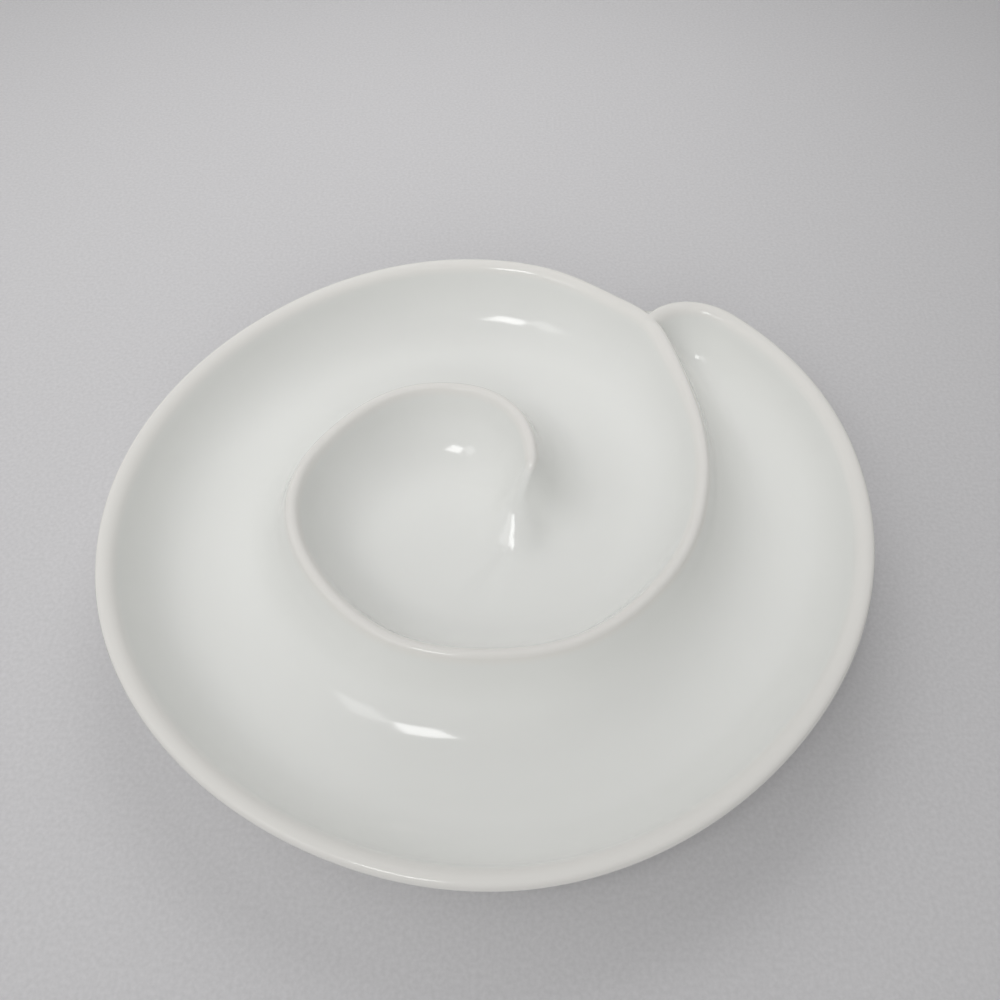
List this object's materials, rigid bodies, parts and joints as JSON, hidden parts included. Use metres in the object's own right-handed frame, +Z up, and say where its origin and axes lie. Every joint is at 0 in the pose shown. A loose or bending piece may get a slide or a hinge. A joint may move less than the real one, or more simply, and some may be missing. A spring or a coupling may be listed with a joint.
{
  "type": "serving dish",
  "caption": "Shallow round serving dish whose wall spirals from the middle out to the rim, parting it into a central cup and a curved channel, on a foot ring.",
  "frame": {"origin": "middle of the outline's bounding box, on the table plane under the foot ring", "axes": "+Z up out of the dish; +X to the picture's right, with the rim's nose towards +X and +Y; +Y away from the picture's camera"},
  "size_m": [0.287, 0.2798, 0.033],
  "materials": {
    "glaze": "clear gloss glaze over white porcelain",
    "biscuit": "unglazed, matte"
  },
  "bodies": {
    "root": {"well_floor": "glaze", "outer_wall": "glaze", "inner_wall": "glaze", "foot_ring": "biscuit"}
  },
  "joints": []
}
